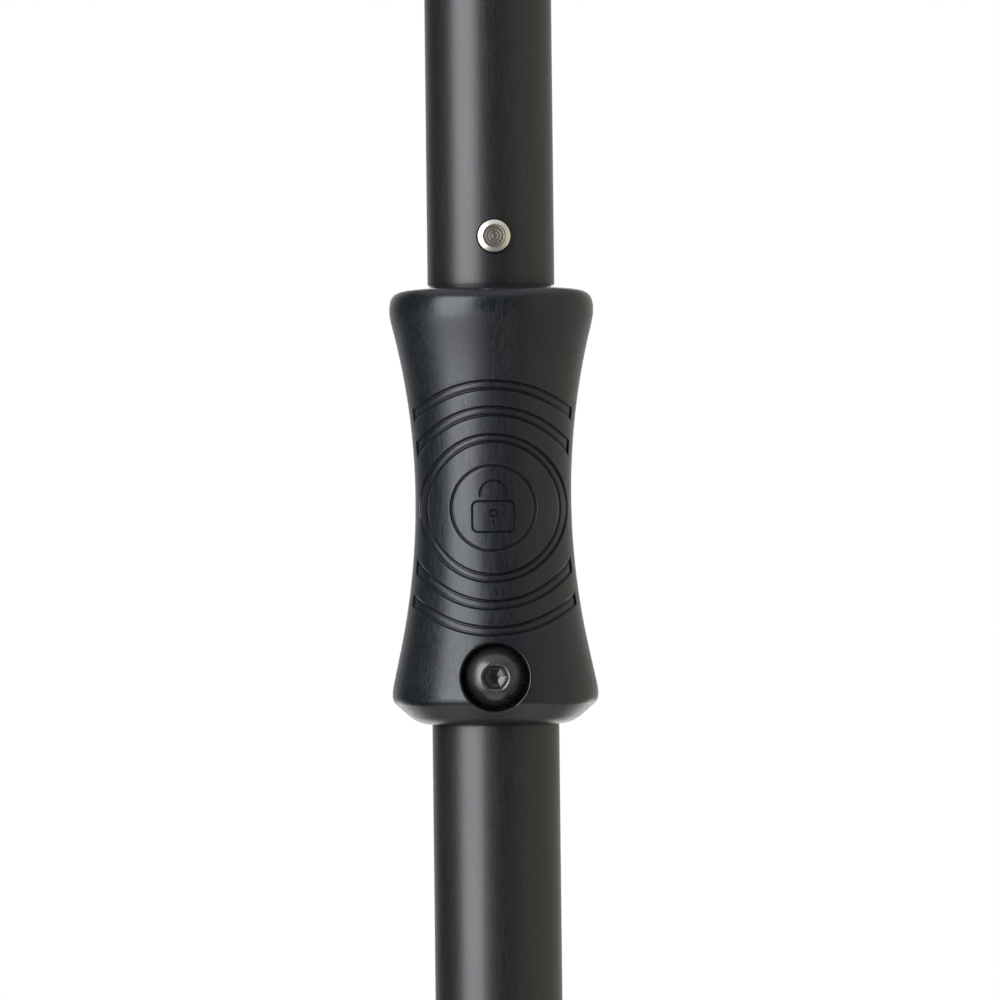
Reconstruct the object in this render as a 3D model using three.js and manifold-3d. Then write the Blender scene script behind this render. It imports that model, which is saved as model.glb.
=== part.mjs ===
// Telescoping pole section with a twist-lock hand collar.
// Millimetres, +Z up the pole, origin at the centre of the pole's lower end.
// The collar's screw, its round pattern and the snap pin face -Y.
//
// A thin mast slides inside the lower tube. The upper tube is fixed over the mast's top and is as
// thick as the lower tube, so that either end fits a 35 mm socket. Turning the hourglass collar by
// a sixth of a turn lets two clamp shoes move off the mast.

import * as THREE from "three";
import { mergeVertices } from "three/addons/utils/BufferGeometryUtils.js";
import Module from "manifold-3d";

const wasm = await Module();
wasm.setup();

// ---------------------------------------------------------------- driving dimensions

const GAP = 0.3; // between pieces that rest on each other
const RUN = 0.15; // radial clearance of a sliding or turning fit
const SIDES = 48; // flats round a turned piece

const TUBE = { outer: 17.5, inner: 16 }; // lower and upper tube, radii
const MAST = { outer: 15, inner: 13, top: 752 };
const POLE_HEIGHT = 851;
const MAST_TRAVEL = 350;
const UPPER_TURN = THREE.MathUtils.degToRad(3); // how far the mast stands turned in its clamp

const COLLAR = {
  bottom: 430, // height of its lower rim on the pole
  length: 121,
  bore: 19.2,
  camTop: 107, // heights from here on count from the collar's lower rim
  shoulder: 91.8,
  mouth: 17.9,
};
const CAM = { mean: 18.3, lift: 0.4 };
const UNLOCK_TURN = 60; // degrees

const PATTERN = {
  height: 59.7,
  discRadius: 11.9,
  discDepth: 0.5,
  grooves: [[18.1, 20.2], [25.3, 27.5], [32.5, 34.6]], // inner and outer radius of each ring
  grooveDepth: 0.9,
  reach: 71.5, // degrees to each side of the front
};

const SCREW = {
  height: 13.7,
  counterbore: 9.35,
  seat: 20.6, // distance of the counterbore's floor from the pole's axis
  headRadius: 8.75,
  headHeight: 5.5,
  socketFlats: 6,
  socketDepth: 4,
  thread: 4.9,
  point: 3.4, // dog point that runs in the lower tube's slot
};
const INSERT = { outer: 6.8, inner: 5.2 };

const HOUSING = {
  bottom: 24,
  tubeEnd: 40, // the lower tube ends here, inside the housing
  shoulder: 90.8,
  top: 110,
  outer: 18.8,
  neck: 17.55,
  recess: 105,
};
const SHOE = { bottom: 94.3, top: 103.7, halfWidth: 5.9 };
const RIVET = { height: 32, radius: 2 };
const BEARING = { bottom: 1.2, top: 22 };
const BUSH_WALL = 1.3;
const SEAT = 112; // the upper tube's end stands here, above the guide bush

const PIN = {
  height: 133.9,
  radius: 4.5,
  hole: 4.9,
  reach: 20, // distance of its tip from the pole's axis
  chamfer: [1.5, 1.1], // across the tip and along the pin
  flange: { radius: 6.2, inner: 9.6, outer: 11 },
};
const SPACER = { lower: [545, 605], upper: [690, 745] };
const LOAD_PLUG = { bore: 6, below: 14, above: 20 };

const END_PLUG = { flange: 3, depth: 22, wall: 3.2, floor: 3, chamfer: 0.8 };
const BUMPER = { bore: 5, height: 5 };
const MAST_FOOT = { top: 38, flange: 6, stem: 24, chamfer: 0.6 }; // top is that of its flange
const ROLL_PIN = { height: 50, radius: 2 };

const onCollar = (height) => COLLAR.bottom + height;

// ---------------------------------------------------------------- materials

function finish(color, roughness, metalness) {
  return new THREE.MeshStandardMaterial({ color, roughness, metalness });
}

const blackAnodised = finish(0x1b1c1e, 0.42, 0.4);
const blackMoulding = finish(0x1a1c1f, 0.45, 0);
const blackenedSteel = finish(0x16171a, 0.32, 0.7);
const brightNickel = finish(0xc9c2b4, 0.22, 1);
const springSteel = finish(0x6f7378, 0.35, 1);
const brass = finish(0xb08d4a, 0.35, 1);
const castZinc = finish(0x8a8d90, 0.5, 0.9);
const blackAcetal = finish(0x202123, 0.5, 0);
const paleAcetal = finish(0xd9d6cc, 0.5, 0);
const bufferRubber = finish(0x141414, 0.9, 0);

// ---------------------------------------------------------------- solids

/** A closed three.js geometry as a manifold solid. */
function solid(geometry) {
  geometry.deleteAttribute("normal");
  geometry.deleteAttribute("uv");
  const merged = mergeVertices(geometry);
  const corners = merged.index.array;
  const triangles = [];
  for (let i = 0; i < corners.length; i += 3) {
    const [a, b, c] = corners.slice(i, i + 3);
    if (a !== b && b !== c && c !== a) triangles.push(a, b, c);
  }
  const mesh = new wasm.Mesh({
    numProp: 3,
    vertProperties: new Float32Array(merged.attributes.position.array),
    triVerts: new Uint32Array(triangles),
  });
  return new wasm.Manifold(mesh);
}

/** Turned piece from an outline of [radius, height] that runs up its outside. */
function turned(outline, sides = SIDES) {
  const points = outline.map(([radius, height]) => new THREE.Vector2(radius, height));
  if (points[0].x > 0) points.push(points[0].clone());
  return solid(new THREE.LatheGeometry(points, sides).rotateX(Math.PI / 2));
}

/** Plain ring round the pole's axis. */
function ring(inner, outer, bottom, top) {
  return turned([[inner, bottom], [outer, bottom], [outer, top], [inner, top]]);
}

/** Plain disc on the pole's axis. */
function disc(radius, bottom, top) {
  return turned([[0, bottom], [radius, bottom], [radius, top], [0, top]]);
}

/** Round bar that points to the front, between two distances from the pole's axis. */
function barToFront(radius, near, far, height, sides = 32) {
  const bar = new THREE.CylinderGeometry(radius, radius, far - near, sides);
  return solid(bar.translate(0, -(near + far) / 2, height));
}

/** Round bar along X. */
function barAcross(radius, from, to, height) {
  const bar = new THREE.CylinderGeometry(radius, radius, to - from, 20).rotateZ(Math.PI / 2);
  return solid(bar.translate((from + to) / 2, 0, height));
}

/** Box between two corners. */
function block([x0, y0, z0], [x1, y1, z1]) {
  const box = new THREE.BoxGeometry(x1 - x0, y1 - y0, z1 - z0);
  return solid(box.translate((x0 + x1) / 2, (y0 + y1) / 2, (z0 + z1) / 2));
}

/** Upright slice of a ring, between two angles in degrees. */
function sector(inner, outer, start, end, bottom, top) {
  const [from, to] = [start, end].map(THREE.MathUtils.degToRad);
  const shape = new THREE.Shape();
  shape.absarc(0, 0, outer, from, to, false);
  shape.absarc(0, 0, inner, to, from, true);
  const options = { depth: top - bottom, bevelEnabled: false, curveSegments: 16 };
  const slice = new THREE.ExtrudeGeometry(shape, options);
  return solid(slice.translate(0, 0, bottom));
}

/** Outline drawn in X and Z, pushed to the front between two distances from the pole's axis. */
function pushedToFront(shape, near, far, height) {
  const options = { depth: far - near, bevelEnabled: false, curveSegments: 16 };
  const prism = new THREE.ExtrudeGeometry(shape, options).translate(0, 0, near);
  return solid(prism.rotateX(Math.PI / 2).translate(0, 0, height));
}

const united = (solids) => solids.reduce((whole, next) => whole.add(next));

// ---------------------------------------------------------------- lower tube and its plugs

function lowerTube() {
  const tube = ring(TUBE.inner, TUBE.outer, END_PLUG.flange + GAP, onCollar(HOUSING.tubeEnd));
  const pointAngle = THREE.MathUtils.radToDeg(Math.asin((SCREW.point + GAP) / TUBE.inner));
  const slot = sector(
    TUBE.inner - 1,
    TUBE.outer + 1,
    -90 - pointAngle,
    -90 + UNLOCK_TURN + pointAngle,
    onCollar(SCREW.height - SCREW.point - GAP),
    onCollar(SCREW.height + SCREW.point + GAP),
  );
  return tube.subtract(slot).subtract(rivetHoles());
}

function rivetHoles() {
  return barAcross(RIVET.radius + GAP, -TUBE.outer - 3, TUBE.outer + 3, onCollar(RIVET.height));
}

function housingRivet(side) {
  const ends = [TUBE.inner + RUN, HOUSING.outer - 0.1].map((distance) => side * distance);
  return barAcross(RIVET.radius, Math.min(...ends), Math.max(...ends), onCollar(RIVET.height));
}

/** Cup-shaped plug for a tube's end, with its flange at the bottom. */
function endPlug() {
  const stem = TUBE.inner - GAP;
  const cup = stem - END_PLUG.wall;
  const { flange, depth, floor, chamfer } = END_PLUG;
  return turned([
    [0, 0],
    [TUBE.outer - chamfer, 0],
    [TUBE.outer, chamfer],
    [TUBE.outer, flange],
    [stem, flange],
    [stem, flange + depth],
    [cup, flange + depth],
    [cup, flange + floor],
    [0, flange + floor],
  ]);
}

function footBumper() {
  const bottom = END_PLUG.flange + END_PLUG.depth + GAP;
  return ring(BUMPER.bore, TUBE.inner - 2 * GAP, bottom, bottom + BUMPER.height);
}

// ---------------------------------------------------------------- lock

function lockHousing() {
  const bore = MAST.outer + GAP;
  const body = turned([
    [TUBE.outer + RUN, onCollar(HOUSING.bottom)],
    [HOUSING.outer, onCollar(HOUSING.bottom)],
    [HOUSING.outer, onCollar(HOUSING.shoulder)],
    [HOUSING.neck, onCollar(HOUSING.shoulder)],
    [HOUSING.neck, onCollar(HOUSING.top)],
    [bore + BUSH_WALL, onCollar(HOUSING.top)],
    [bore + BUSH_WALL, onCollar(HOUSING.recess)],
    [bore, onCollar(HOUSING.recess)],
    [bore, onCollar(HOUSING.tubeEnd + GAP)],
    [TUBE.outer + RUN, onCollar(HOUSING.tubeEnd + GAP)],
  ]);
  const reach = HOUSING.outer + 1;
  const width = SHOE.halfWidth + GAP;
  const windows = block(
    [-reach, -width, onCollar(SHOE.bottom - GAP)],
    [reach, width, onCollar(SHOE.top + GAP)],
  );
  return body.subtract(windows).subtract(rivetHoles());
}

/** Shoe that the collar's cam presses on the mast; side is 1 at +X and -1 at -X. */
function clampShoe(side) {
  const { bottom, top, halfWidth } = SHOE;
  const band = ring(MAST.outer + GAP, HOUSING.neck, onCollar(bottom), onCollar(top));
  const ends = [0, side * TUBE.outer * 2];
  const half = block(
    [Math.min(...ends), -halfWidth, onCollar(0)],
    [Math.max(...ends), halfWidth, onCollar(COLLAR.length)],
  );
  return band.intersect(half);
}

function guideBush() {
  const inner = MAST.outer + RUN;
  const spigot = MAST.outer + GAP + BUSH_WALL - RUN;
  const flange = onCollar(HOUSING.top + GAP);
  return turned([
    [inner, onCollar(HOUSING.recess + GAP)],
    [spigot, onCollar(HOUSING.recess + GAP)],
    [spigot, flange],
    [TUBE.outer, flange],
    [TUBE.outer, onCollar(SEAT - GAP)],
    [inner, onCollar(SEAT - GAP)],
  ]);
}

function wearWasher() {
  const [bottom, top] = [HOUSING.shoulder + 0.2, COLLAR.shoulder - 0.2];
  return ring(HOUSING.neck + GAP, COLLAR.bore - 0.2, onCollar(bottom), onCollar(top));
}

// ---------------------------------------------------------------- collar

/** The collar's outer outline from its lower rim to its mouth, drawn in by inset. */
function collarOutline(inset) {
  const path = new THREE.Path();
  path.moveTo(18, 0.2);
  path.quadraticCurveTo(21.6, 0.5, 24.1, 2.9); // rounded underside
  path.lineTo(27.3, 6);
  path.quadraticCurveTo(28.8, 7.4, 28.1, 10.9); // lower corner
  path.lineTo(25.9, 21.2);
  path.quadraticCurveTo(21.5, 41.6, 21.5, 62.6); // waist
  path.quadraticCurveTo(21.5, 86.3, 27.3, 109.2);
  path.lineTo(27.6, 110.5);
  path.quadraticCurveTo(29.7, 118.8, 24.2, 120); // upper shoulder
  path.quadraticCurveTo(21, 120.75, COLLAR.mouth, COLLAR.length);
  return path.getPoints(3).map((point) => [point.x - inset, onCollar(point.y)]);
}

/** The collar's outer form as one full solid. */
function collarForm(inset = 0) {
  const outline = collarOutline(inset);
  return turned([[0, outline[0][1]], ...outline, [0, outline.at(-1)[1]]]);
}

/** Cam bore: nearest the axis at the two shoes while the collar is locked. */
function camBore() {
  const shape = new THREE.Shape();
  for (let i = 0; i < SIDES; i += 1) {
    const angle = (i / SIDES) * 2 * Math.PI;
    const radius = CAM.mean - CAM.lift * Math.cos(2 * angle);
    if (i === 0) shape.moveTo(radius, 0);
    else shape.lineTo(radius * Math.cos(angle), radius * Math.sin(angle));
  }
  const depth = COLLAR.camTop - COLLAR.shoulder + 0.2;
  const prism = new THREE.ExtrudeGeometry(shape, { depth, bevelEnabled: false });
  return solid(prism.translate(0, 0, onCollar(COLLAR.shoulder - 0.1)));
}

/** Ring grooves and the round recess, sunk into the front of the collar. */
function frontPattern() {
  const rings = PATTERN.grooves.map(([inner, outer]) => {
    const shape = new THREE.Shape().absarc(0, 0, outer, 0, 2 * Math.PI, false);
    shape.holes.push(new THREE.Path().absarc(0, 0, inner, 0, 2 * Math.PI, true));
    return pushedToFront(shape, 2, 40, onCollar(PATTERN.height));
  });
  const [start, end] = [-90 - PATTERN.reach, -90 + PATTERN.reach];
  const wedge = sector(1, 45, start, end, onCollar(0), onCollar(COLLAR.length));
  const grooves = united(rings).intersect(wedge).subtract(collarForm(PATTERN.grooveDepth));
  const centre = barToFront(PATTERN.discRadius, 2, 40, onCollar(PATTERN.height), 32);
  return grooves.add(centre.subtract(collarForm(PATTERN.discDepth)));
}

function collarGrip() {
  const bores = united([
    disc(COLLAR.bore, onCollar(-1), onCollar(COLLAR.shoulder)),
    camBore(),
    disc(COLLAR.mouth, onCollar(COLLAR.camTop), onCollar(COLLAR.length + 1)),
  ]);
  const screwHole = united([
    barToFront(SCREW.counterbore, SCREW.seat, 40, onCollar(SCREW.height), 32),
    barToFront(INSERT.outer + GAP, 15, SCREW.seat + 0.1, onCollar(SCREW.height)),
  ]);
  const pattern = frontPattern();
  const patterns = pattern.add(pattern.rotate([0, 0, 180]));
  return collarForm().subtract(bores).subtract(screwHole).subtract(patterns);
}

function collarBearing() {
  const bearing = ring(TUBE.outer + RUN, COLLAR.bore - 0.25, onCollar(BEARING.bottom), onCollar(BEARING.top));
  return bearing.subtract(barToFront(INSERT.outer + GAP, 10, 25, onCollar(SCREW.height)));
}

function threadedInsert() {
  const outer = barToFront(INSERT.outer, TUBE.outer + GAP, SCREW.seat, onCollar(SCREW.height));
  return outer.subtract(barToFront(INSERT.inner, 10, 30, onCollar(SCREW.height)));
}

/** Button head screw with a dog point; its axis is Z here, with the head's seat at zero. */
function stopScrew() {
  const { headRadius, headHeight, thread, point, seat } = SCREW;
  const threadEnd = TUBE.outer + GAP - seat - GAP;
  const pointEnd = TUBE.inner + 0.1 - seat - GAP;
  const dome = new THREE.QuadraticBezierCurve(
    new THREE.Vector2(headRadius, 1),
    new THREE.Vector2(headRadius - 0.6, headHeight - 0.4),
    new THREE.Vector2(4.4, headHeight),
  );
  const body = turned([
    [0, pointEnd],
    [point, pointEnd],
    [point, threadEnd],
    [thread, threadEnd],
    [thread, 0],
    [headRadius, 0],
    ...dome.getPoints(6).map((corner) => [corner.x, corner.y]),
    [0, headHeight],
  ], 36);
  const hexagon = new THREE.Shape();
  const cornerRadius = SCREW.socketFlats / Math.sqrt(3);
  for (let i = 0; i < 6; i += 1) {
    const angle = (i * Math.PI) / 3;
    const [x, y] = [cornerRadius * Math.cos(angle), cornerRadius * Math.sin(angle)];
    if (i === 0) hexagon.moveTo(x, y);
    else hexagon.lineTo(x, y);
  }
  const options = { depth: SCREW.socketDepth + 1, bevelEnabled: false };
  const socket = new THREE.ExtrudeGeometry(hexagon, options);
  return body.subtract(solid(socket.translate(0, 0, headHeight - SCREW.socketDepth)));
}

// ---------------------------------------------------------------- mast and what it carries

/** Slip sleeve that meets the housing when the mast is fully raised. */
function stopSleeve() {
  const top = onCollar(HOUSING.tubeEnd) - MAST_TRAVEL;
  return ring(MAST.outer + RUN, TUBE.inner - 0.2, MAST_FOOT.top + GAP, top);
}

function mastTube() {
  const tube = ring(MAST.inner, MAST.outer, MAST_FOOT.top + GAP, MAST.top);
  return tube.subtract(pinHole()).subtract(barAcross(ROLL_PIN.radius + GAP, -20, 20, ROLL_PIN.height));
}

function pinHole() {
  return barToFront(PIN.hole, 5, 25, onCollar(PIN.height));
}

function mastFoot() {
  const { top, flange, stem, chamfer } = MAST_FOOT;
  const plug = MAST.inner - GAP;
  const rim = TUBE.inner - 0.2;
  const foot = turned([
    [0, top - flange],
    [rim - chamfer, top - flange],
    [rim, top - flange + chamfer],
    [rim, top],
    [plug, top],
    [plug, top + stem],
    [0, top + stem],
  ]);
  return foot.subtract(barAcross(ROLL_PIN.radius + GAP, -20, 20, ROLL_PIN.height));
}

function mastFootPin() {
  return barAcross(ROLL_PIN.radius, 0.3 - MAST.outer, MAST.outer - 0.3, ROLL_PIN.height);
}

function spacer([bottom, top]) {
  return ring(MAST.outer + RUN, TUBE.inner - 0.15, bottom, top);
}

function upperTube() {
  const tube = ring(TUBE.inner, TUBE.outer, onCollar(SEAT), POLE_HEIGHT - END_PLUG.flange - GAP);
  return tube.subtract(pinHole());
}

/** Plug in the upper tube that stands on the mast's end. */
function loadPlug() {
  const spigot = MAST.inner - GAP;
  const shoulder = TUBE.inner - 0.2;
  const { bore, below, above } = LOAD_PLUG;
  return turned([
    [bore, MAST.top - below],
    [spigot, MAST.top - below],
    [spigot, MAST.top + GAP],
    [shoulder, MAST.top + GAP],
    [shoulder, MAST.top + above],
    [bore, MAST.top + above],
  ]);
}

/** Snap pin; its axis is Z here, with its zero on the pole's axis. */
function snapPin() {
  const { radius, reach, flange } = PIN;
  const [across, along] = PIN.chamfer;
  return turned([
    [0, flange.inner],
    [flange.radius, flange.inner],
    [flange.radius, flange.outer],
    [radius, flange.outer],
    [radius, reach - along],
    [radius - across, reach],
    [0, reach],
  ], 32);
}

/** Folded leaf spring inside the mast: one leg behind the pin, one on the mast's far wall. */
function leafSpring() {
  const legBehindPin = [[-8.95, -6], [-8.95, 0], [-8.95, 6], [-5.8, 22]];
  const bend = [[-3, 34], [0.5, 38], [4, 34]];
  const legOnWall = [[7.4, 20], [11, -2]];
  const corners = [...legBehindPin, ...bend, ...legOnWall];
  const route = new THREE.CatmullRomCurve3(corners.map(([y, z]) => new THREE.Vector3(0, y, z)));
  const section = [[-0.35, -3.5], [0.35, -3.5], [0.35, 3.5], [-0.35, 3.5]];
  const strip = new THREE.Shape(section.map(([x, y]) => new THREE.Vector2(x, y)));
  const spring = new THREE.ExtrudeGeometry(strip, { steps: 30, bevelEnabled: false, extrudePath: route });
  return solid(spring.translate(0, 0, onCollar(PIN.height)));
}

// ---------------------------------------------------------------- assembly

/** Adds a solid to a group as a named mesh. */
function add(group, name, body, material) {
  const { vertProperties, triVerts } = body.getMesh();
  const geometry = new THREE.BufferGeometry();
  geometry.setAttribute("position", new THREE.BufferAttribute(vertProperties, 3));
  geometry.setIndex(new THREE.BufferAttribute(triVerts, 1));
  geometry.computeVertexNormals();
  const mesh = new THREE.Mesh(geometry, material);
  mesh.name = name;
  group.add(mesh);
  return mesh;
}

const pole = new THREE.Group();

add(pole, "lower_tube", lowerTube(), blackAnodised);
add(pole, "foot_plug", endPlug(), blackMoulding);
add(pole, "foot_bumper", footBumper(), bufferRubber);
add(pole, "lock_housing", lockHousing(), castZinc);
add(pole, "guide_bush", guideBush(), blackAcetal);
add(pole, "wear_washer", wearWasher(), paleAcetal);
for (const [side, word] of [[-1, "left"], [1, "right"]]) {
  add(pole, `housing_rivet_${word}`, housingRivet(side), springSteel);
  add(pole, `clamp_shoe_${word}`, clampShoe(side), blackAcetal);
}

add(pole, "collar_grip", collarGrip(), blackMoulding);
add(pole, "collar_bearing", collarBearing(), blackAcetal);
add(pole, "threaded_insert", threadedInsert(), brass);
const screw = add(pole, "stop_screw", stopScrew(), blackenedSteel);
screw.rotation.x = Math.PI / 2;
screw.position.set(0, -SCREW.seat - GAP, onCollar(SCREW.height));

add(pole, "stop_sleeve", stopSleeve(), paleAcetal);

const upper = new THREE.Group();
upper.rotation.z = UPPER_TURN;
pole.add(upper);
add(upper, "mast_tube", mastTube(), blackAnodised);
add(upper, "mast_foot", mastFoot(), blackAcetal);
add(upper, "mast_foot_pin", mastFootPin(), springSteel);
add(upper, "lower_spacer", spacer(SPACER.lower).subtract(pinHole()), paleAcetal);
add(upper, "upper_spacer", spacer(SPACER.upper), paleAcetal);
add(upper, "upper_tube", upperTube(), blackAnodised);
add(upper, "load_plug", loadPlug(), blackAcetal);
add(upper, "leaf_spring", leafSpring(), springSteel);
const pin = add(upper, "snap_pin", snapPin(), brightNickel);
pin.rotation.x = Math.PI / 2;
pin.position.z = onCollar(PIN.height);
const cap = add(upper, "top_cap", endPlug(), blackMoulding);
cap.rotation.x = Math.PI;
cap.position.z = POLE_HEIGHT;

export default pole;
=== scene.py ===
import math

import bmesh
import bpy
import numpy as np
from mathutils import Matrix, Vector, geometry, kdtree


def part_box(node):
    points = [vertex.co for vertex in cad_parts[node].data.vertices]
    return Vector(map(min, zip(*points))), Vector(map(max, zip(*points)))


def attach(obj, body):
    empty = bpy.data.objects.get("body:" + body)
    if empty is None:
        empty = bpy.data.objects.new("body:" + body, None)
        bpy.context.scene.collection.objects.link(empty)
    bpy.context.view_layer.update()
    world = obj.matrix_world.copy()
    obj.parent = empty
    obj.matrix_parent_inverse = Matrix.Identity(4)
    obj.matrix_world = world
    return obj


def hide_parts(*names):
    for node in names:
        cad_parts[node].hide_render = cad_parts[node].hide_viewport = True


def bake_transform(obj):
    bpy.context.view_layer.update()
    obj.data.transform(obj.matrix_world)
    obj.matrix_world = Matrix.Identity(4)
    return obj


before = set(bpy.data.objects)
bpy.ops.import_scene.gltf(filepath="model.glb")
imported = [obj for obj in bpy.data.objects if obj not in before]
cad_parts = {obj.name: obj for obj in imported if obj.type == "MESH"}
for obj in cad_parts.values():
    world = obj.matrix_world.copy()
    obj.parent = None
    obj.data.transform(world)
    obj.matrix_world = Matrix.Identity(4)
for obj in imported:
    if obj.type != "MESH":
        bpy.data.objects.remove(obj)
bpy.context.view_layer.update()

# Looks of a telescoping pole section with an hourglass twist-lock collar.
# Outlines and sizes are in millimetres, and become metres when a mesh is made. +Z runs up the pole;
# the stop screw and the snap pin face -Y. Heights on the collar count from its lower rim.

MM = 0.001

# ---------------------------------------------------------------- sizes


def span(node):
    """Heights of the lowest and the highest point of a node of the frame, in millimetres."""
    return [corner.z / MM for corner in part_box(node)]


COLLAR_LENGTH = 121
COLLAR_FOOT = span("collar_grip")[1] - COLLAR_LENGTH
COLLAR_BORE = 19.2
COLLAR_SHOULDER = 91.8  # the bore's step under the cam
COLLAR_CAM_TOP = 107
COLLAR_MOUTH = 17.9
CAM_MEAN, CAM_LIFT = 18.3, 0.4  # the cam bore's mean radius, and how far it swings from it
COLLAR_TURN = math.radians(60)  # from locked to open
COLLAR_SIDES = 160
CURVE_STEPS = 60  # of each curve of the collar's outline
PATCH_REACH = 34  # columns to each side of the front that the pattern may cover
PATCH_FOOT, PATCH_TOP = 3, 97  # heights between which it may lie
CLEARANCE = 0.42  # least distance of the collar's own points from the pattern's
MAP_RADIUS = 22  # of the round that the collar's map unrolls

PATTERN_HEIGHT = 59.7
RINGS = ((17.75, 20.45), (24.95, 27.9), (32.1, 35.0))  # inner and outer radius of each groove
RING_DEPTH = 0.8  # in a groove's middle
CREASE_DEPTH = 1.35  # along its two sides
RING_REACH = math.radians(71.5)  # how far round the collar the arc grooves go from its front
END_SINK = 0.45  # how much deeper an arc groove is at its end walls
END_START = 0.8  # share of the way to an end wall from which it deepens
DISC_RADIUS = 11.9
DISC_DEPTH = 0.55
SIDE_FADE = 0.3  # how much shallower sunk faces are where the collar turns away

SCREW_HEIGHT = 13.7
COUNTERBORE = 9.35  # its radius
SCREW_SEAT = 20.6  # distance of the counterbore's floor from the pole's axis
SCREW_GAP = 0.3  # between that floor and the screw's head
SCREW_HEAD, SCREW_THREAD, SCREW_POINT = 8.75, 4.9, 3.4  # radii
SCREW_SIDES = 96
DOME_RADIUS, DOME_CENTRE = 9.25, -2.7  # of the round of the head, and its centre's height above the seat
SOCKET_FLATS = 6  # the hexagon's width across its flats
SOCKET_MOUTH = 3.85  # radius where the dome ends
SOCKET_SLOPE = math.tan(math.radians(40))  # of the socket's countersink
INSERT_HOLE = 7.1  # radius of the hole for the threaded insert

TUBE_OUTER, TUBE_INNER = 17.5, 16
MAST_OUTER, MAST_INNER = 15, 13
TUBE_SIDES = 192
SLOT_HALF = 3.7  # half the height of the slot for the stop screw's point
CROSS_HOLE = 2.3  # radius of the holes for the rivets and for the roll pin

PIN_HEIGHT = 133.9
PIN_RADIUS = 4.5
PIN_FLANGE, PIN_FLANGE_FOOT, PIN_FLANGE_TOP = 6.2, 9.6, 11  # radius, and distances from the pole's axis
PIN_CHAMFER, PIN_CHAMFER_DEPTH = 1.3, 0.65
PIN_PITCH = 0.21  # of the turning rings on its tip
PIN_DIPS = (0, 0.04, 0.08, 0.04)
PIN_HOLE = 4.78  # radius of its hole in the tubes
PIN_REACH = 20  # distance of its tip from the pole's axis
PIN_TURN = math.radians(3)
LEAF_FRONT, LEAF_BACK = 8.95, 11  # distances of the leaf spring's legs from the pole's axis
LEAF_HALF, LEAF_THIN = 3.5, 0.35  # half its width and half its thickness

CAMERA_DISTANCE = 1800
CAMERA_HEIGHT = 61.87  # on the collar
CAMERA_SIDE = 1.83
CAMERA_ROLL = math.radians(0.65)
VIEW_SIZE = 275.6  # what the camera sees across, at the pole's axis
KEY_AZIMUTH = -45
FLOOR_RADIUS = 4400
FLOOR_DROP = 0.2  # the floor lies this much below the pole's end

RUBBED_SIDE, RUBBED_WIDTH = 5.5, 7  # where the collar is rubbed: middle and half width across
RUBBED_HEIGHT, RUBBED_LENGTH = 103, 17  # and middle and half length up the collar

# ---------------------------------------------------------------- shader expressions


class Shade:
    """A varying number, colour or vector of a material; arithmetic on it adds Math nodes."""

    def __init__(self, finish, socket):
        self.finish = finish
        self.socket = socket

    def math(self, operation, *values):
        sockets = dict(enumerate(values))
        return self.finish.node("ShaderNodeMath", {"operation": operation}, sockets)

    def __add__(self, other):
        return self.math("ADD", self, other)

    __radd__ = __add__

    def __mul__(self, other):
        return self.math("MULTIPLY", self, other)

    __rmul__ = __mul__

    def __sub__(self, other):
        return self.math("SUBTRACT", self, other)

    def __rsub__(self, other):
        return self.math("SUBTRACT", other, self)

    def __truediv__(self, other):
        return self.math("DIVIDE", self, other)

    def __rtruediv__(self, other):
        return self.math("DIVIDE", other, self)

    def __pow__(self, other):
        return self.math("POWER", self, other)

    def sine(self):
        return self.math("SINE", self)

    def absolute(self):
        return self.math("ABSOLUTE", self)

    def ramp(self, low_end, high_end):
        """0 below the low end, 1 above the high end and smooth in between."""
        settings = {"interpolation_type": "SMOOTHSTEP"}
        sockets = {"Value": self, "From Min": low_end, "From Max": high_end}
        return self.finish.node("ShaderNodeMapRange", settings, sockets)


class NodeTree:
    """Makes the nodes of one material or of the surroundings."""

    def __init__(self, tree):
        self.tree = tree
        tree.nodes.clear()

    def node(self, kind, settings=None, sockets=None, output=0):
        """Adds a node with its settings, then its sockets' values or links, and gives one output."""
        made = self.tree.nodes.new(kind)
        for name, value in (settings or {}).items():
            setattr(made, name, value)
        for name, value in (sockets or {}).items():
            if isinstance(value, Shade):
                self.tree.links.new(value.socket, made.inputs[name])
            else:
                made.inputs[name].default_value = value
        return Shade(self, made.outputs[output] if made.outputs else None)

    def mixed(self, amount, first, second):
        """Colour that goes from the first to the second as the amount goes from 0 to 1."""
        ends = [colour if isinstance(colour, Shade) else (*colour, 1) for colour in (first, second)]
        sockets = {0: amount, 6: ends[0], 7: ends[1]}
        return self.node("ShaderNodeMix", {"data_type": "RGBA"}, sockets, output=2)

    def parts(self, vector):
        """X, Y and Z of a vector."""
        split = self.node("ShaderNodeSeparateXYZ", {}, {"Vector": vector}).socket.node
        return [Shade(self, output) for output in split.outputs]


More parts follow.
